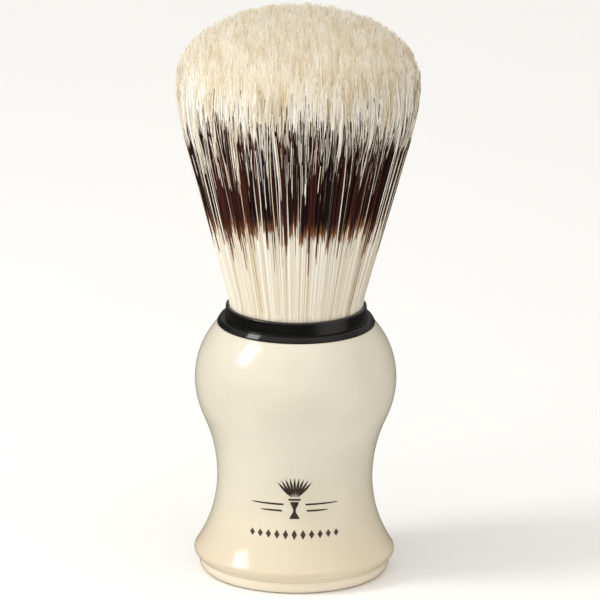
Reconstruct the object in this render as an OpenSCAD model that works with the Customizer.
// Shaving brush: hollow hourglass handle, stepped collar and a flared knot of bristles.
// Every piece is turned about the Z axis. The origin is the centre of the foot's rest face.

/* [Foot] */
// Diameter of the foot disc
foot_d = 38; // [37.4:0.1:38.2]
// Height of the foot disc, up to its seam with the handle
foot_h = 2.4; // [2.2:0.1:2.6]
// Radius of the foot's rounded rim
foot_round = 1.7; // [1.5:0.1:1.8]
// Diameter of the shallow recess under the foot
recess_d = 29; // [20:1:30]
// Depth of the recess under the foot
recess_depth = 0.5; // [0.2:0.1:0.7]
// Height of the spigot that plugs the foot into the handle
spigot_h = 3.2; // [2:0.1:3.5]
// Wall of the spigot
spigot_wall = 1.7; // [1.2:0.1:2.5]

/* [Handle] */
// Diameter of the lip above the foot
lip_d = 40.2; // [39.6:0.1:41]
// Height of the lip's widest point
lip_z = 4.3; // [4:0.1:4.6]
// Radius of the lip's rounded edge
lip_round = 1.35; // [1.1:0.05:1.6]
// Diameter of the waist
waist_d = 31.2; // [30.6:0.1:32]
// Height of the waist
waist_z = 19.3; // [18:0.1:21]
// Diameter of the bulb that fills the palm
bulb_d = 40.4; // [39.5:0.1:41.5]
// Height of the bulb's widest point
bulb_z = 40; // [39:0.1:41]
// Radius of the bulb's curve above its widest point
bulb_upper_round = 16.8; // [16.4:0.1:17.6]
// Radius of the bulb's curve below its widest point
bulb_lower_round = 18.2; // [16:0.1:20]
// Height of the flat shoulder that carries the collar
shoulder_z = 51.3; // [51:0.1:51.5]
// Thinnest wall of the handle, at the waist
wall = 2.6; // [2.2:0.1:3]

/* [Socket] */
// Diameter of the socket that takes the cup
socket_d = 28; // [27.9:0.05:28.1]
// Depth of the socket below the shoulder
socket_depth = 15.3; // [14:0.1:16]
// Thickness of the floor between the socket and the hollow below
socket_floor = 2.5; // [2:0.1:3]
// Thickness of the adhesive under the cup
glue_t = 0.5; // [0.3:0.1:0.8]

/* [Collar] */
// Diameter of the collar ring
ring_d = 31.6; // [31.2:0.1:31.7]
// Height of the collar ring
ring_h = 1.2; // [1:0.1:1.4]
// Slope of the ring's bevelled rim, in degrees from upright
ring_bevel = 31; // [15:1:40]
// Radius of the ring's rounded edges
ring_round = 0.25; // [0.15:0.05:0.35]
// Diameter of the cup's upper band at its lower edge
band_d = 28.6; // [28.4:0.1:29]
// Height of the cup's upper band
band_h = 2.6; // [2.2:0.1:3]
// How much the band narrows from bottom to top, on the diameter
band_taper = 0.4; // [0:0.1:0.5]
// Radius of the band's rounded top edge
band_round = 0.3; // [0.15:0.05:0.35]
// Diameter of the flared mouth of the cup
mouth_d = 26.9; // [26.6:0.1:27]
// Bore of the cup
cup_bore_d = 26; // [25.8:0.1:26.2]
// Clearance between the cup and the socket, on the radius
cup_gap = 0.1; // [0.05:0.01:0.15]
// Thickness of the cup's floor
cup_floor = 1.2; // [1:0.1:1.6]

/* [Knot] */
// Depth of the resin that holds the bristle ends
resin_h = 4.3; // [3:0.1:5]
// Diameter of the binding twine
twine_d = 0.7; // [0.5:0.05:0.8]
// Number of turns of twine
twine_turns = 4; // [2:1:5]
// Diameter of the knot where it leaves the cup
knot_d = 26.2; // [25.8:0.1:26.4]
// Growth of the knot's radius for each millimetre of height
flare = 0.271; // [0.26:0.001:0.28]
// Widest diameter of the knot
bloom_d = 48.4; // [47:0.1:50]
// Height of the knot's widest point
bloom_z = 101.5; // [100:0.1:103]
// Height of the dome above the knot's widest point
dome_h = 14.7; // [13:0.1:16]

/* [Flex] */
// Height of the bending centre above the mouth of the cup
pivot_rise = 8; // [7.8:0.1:8.2]
// Diameter of the ball at the lower end of the free bristles
ball_d = 28.4; // [28:0.1:28.6]
// Clearance between the ball and the clamped bristles, on the radius
ball_gap = 0.2; // [0.1:0.05:0.3]

/* [Hidden] */
$fn = 96;

foot_r = foot_d / 2;
lip_r = lip_d / 2;
waist_r = waist_d / 2;
bulb_r = bulb_d / 2;
socket_r = socket_d / 2;
band_r = band_d / 2;
bloom_r = bloom_d / 2;
ball_r = ball_d / 2;
cup_r = socket_r - cup_gap;
cup_bore_r = cup_bore_d / 2;

// Heights of the stack inside the collar
socket_z = shoulder_z - socket_depth;
cup_z = socket_z + glue_t;
resin_z = cup_z + cup_floor;
root_z = resin_z + resin_h;
ring_top_z = shoulder_z + ring_h;
mouth_z = ring_top_z + band_h;
pivot_z = mouth_z + pivot_rise;

// Slip of 0.05 mm on the radius for pieces that are pushed into a bore
slip = 0.05;
spigot_bore_r = 17.1;
seam_overhang = 0.05;

// The bristles below the mouth, and the groove that the twine lies in
root_r = cup_bore_r - slip;
root_top_z = mouth_z - 0.2;
groove_r = root_r - twine_d - 0.05;
groove_z = root_z + 1;
twine_pitch = twine_d + 0.02;
groove_h = twine_turns * twine_pitch + 0.1;

function arc(centre, radius, from, to, steps) =
    [for (i = [0:steps]) let (a = from + (to - from) * i / steps)
        centre + radius * [cos(a), sin(a)]];

function bezier(a, b, c, steps) =
    [for (i = [0:steps]) let (t = i / steps)
        (1 - t) * (1 - t) * a + 2 * t * (1 - t) * b + t * t * c];

// Radius of a waist curve of radius R that has its narrowest point at the waist and
// touches a rounded edge of radius edge_round whose widest point is at [edge_r, edge_z]
function waist_round(edge_r, edge_z, edge_round) =
    let (d = waist_r - edge_r + edge_round, h = edge_z - waist_z)
    (d * d + h * h - edge_round * edge_round) / (2 * (edge_round - d));

// Direction, in degrees, from the centre of a rounded edge to the centre of the waist curve
function touch_angle(edge_r, edge_z, edge_round) =
    let (c = waist_r + waist_round(edge_r, edge_z, edge_round))
    atan2(waist_z - edge_z, c - (edge_r - edge_round));

lower_waist_round = waist_round(lip_r, lip_z, lip_round);
lower_touch = touch_angle(lip_r, lip_z, lip_round);
upper_waist_round = waist_round(bulb_r, bulb_z, bulb_lower_round);
upper_touch = touch_angle(bulb_r, bulb_z, bulb_lower_round);
shoulder_angle = asin((shoulder_z - bulb_z) / bulb_upper_round);

// Angle above level at which the foot's rounded rim ends, and its radius at the seam there
foot_top_angle = asin((foot_h - foot_round) / foot_round);
seam_r = foot_r - foot_round + foot_round * cos(foot_top_angle);

// Outline of the outside of the handle, from its seam with the foot up to the shoulder
function handle_outline() = concat(
    [[seam_r + seam_overhang, foot_h]],
    arc([lip_r - lip_round, lip_z], lip_round, -60, lower_touch, 12),
    arc([waist_r + lower_waist_round, waist_z], lower_waist_round, 180 + lower_touch, 180, 20),
    arc([waist_r + upper_waist_round, waist_z], upper_waist_round, 180, 180 + upper_touch, 16),
    arc([bulb_r - bulb_lower_round, bulb_z], bulb_lower_round, upper_touch, 0, 12),
    arc([bulb_r - bulb_upper_round, bulb_z], bulb_upper_round, 0, shoulder_angle, 16)
);

// Hollow of the handle below the socket: a straight core that opens into the spigot's bore
module handle_hollow() {
    core_r = waist_r - wall;
    core_top = socket_z - socket_floor;
    bore_top = foot_h + spigot_h + 0.4;
    rotate_extrude() polygon([
        [0, foot_h - 1],
        [spigot_bore_r, foot_h - 1],
        [spigot_bore_r, bore_top],
        [core_r, waist_z - 5],
        [core_r, core_top - 1.5],
        [core_r - 1.5, core_top],
        [0, core_top]
    ]);
}

module handle_shell() {
    color("ivory") difference() {
        rotate_extrude() polygon(concat([[0, foot_h]], handle_outline(), [[0, shoulder_z]]));
        handle_hollow();
        translate([0, 0, socket_z]) cylinder(h = socket_depth + 1, r = socket_r);
    }
}

module base_cap() {
    spigot_r = spigot_bore_r - slip;
    color("antiquewhite") difference() {
        union() {
            rotate_extrude() polygon(concat(
                [[0, 0]],
                arc([foot_r - foot_round, foot_round], foot_round, -90, foot_top_angle, 14),
                [[0, foot_h]]
            ));
            cylinder(h = foot_h + spigot_h, r = spigot_r);
        }
        translate([0, 0, foot_h]) cylinder(h = spigot_h + 1, r = spigot_r - spigot_wall);
        translate([0, 0, -1]) cylinder(h = recess_depth + 1, d = recess_d);
    }
}

module collar_ring() {
    // The rim leans inwards from its lower rounded edge to its upper one
    lower = [ring_d / 2 - ring_round, shoulder_z + ring_round];
    rise = ring_h - 2 * ring_round;
    upper = lower + [-rise * tan(ring_bevel), rise];
    color("black") rotate_extrude() polygon(concat(
        [[socket_r, shoulder_z]],
        arc(lower, ring_round, -90, ring_bevel, 10),
        arc(upper, ring_round, ring_bevel, 90, 6),
        [[socket_r, ring_top_z]]
    ));
}

module ferrule_cup() {
    band_top_r = band_r - band_taper / 2;
    color([0.12, 0.12, 0.13]) rotate_extrude() polygon(concat(
        [[0, cup_z], [cup_r, cup_z], [cup_r, ring_top_z], [band_r, ring_top_z]],
        arc([band_top_r - band_round, mouth_z - band_round], band_round, 0, 90, 6),
        [[mouth_d / 2, mouth_z], [cup_bore_r, mouth_z - 1.2], [cup_bore_r, resin_z], [0, resin_z]]
    ));
}

module glue_bed() {
    color("wheat") translate([0, 0, socket_z]) cylinder(h = glue_t, r = cup_r);
}

module resin_plug() {
    color("goldenrod") translate([0, 0, resin_z]) cylinder(h = resin_h, r = root_r);
}

module binding_twine() {
    turn_r = groove_r + twine_d / 2 + 0.01;
    color("burlywood") for (turn = [0:twine_turns - 1])
        translate([0, 0, groove_z + 0.05 + twine_d / 2 + turn * twine_pitch])
            rotate_extrude() translate([turn_r, 0]) circle(d = twine_d, $fn = 24);
}

module bristle_root() {
    color("cornsilk") difference() {
        translate([0, 0, root_z]) cylinder(h = root_top_z - root_z, r = root_r);
        translate([0, 0, groove_z]) difference() {
            cylinder(h = groove_h, r = root_r + 1);
            translate([0, 0, -1]) cylinder(h = groove_h + 2, r = groove_r);
        }
        translate([0, 0, pivot_z]) sphere(r = ball_r + ball_gap);
    }
}

// Outline of the free bristles: the ball at the bottom, the straight flare, the shoulder
// that turns into the widest point, and the domed top
function head_outline() =
    let (
        flare_start_z = pivot_z + 2.5,
        flare_end_z = bloom_z - 11,
        corner_z = mouth_z + (bloom_r - knot_d / 2) / flare
    )
    concat(
        arc([0, pivot_z], ball_r, -90, -4, 24),
        [[knot_d / 2 + flare * (flare_start_z - mouth_z), flare_start_z]],
        bezier(
            [knot_d / 2 + flare * (flare_end_z - mouth_z), flare_end_z],
            [bloom_r, corner_z],
            [bloom_r, bloom_z],
            8
        ),
        [for (a = [6:6:90]) [bloom_r * cos(a), bloom_z + dome_h * sin(a)]]
    );

module bristle_head() {
    color("linen") rotate_extrude() polygon(head_outline());
}

handle_shell();
base_cap();
collar_ring();
ferrule_cup();
glue_bed();
resin_plug();
binding_twine();
bristle_root();
bristle_head();
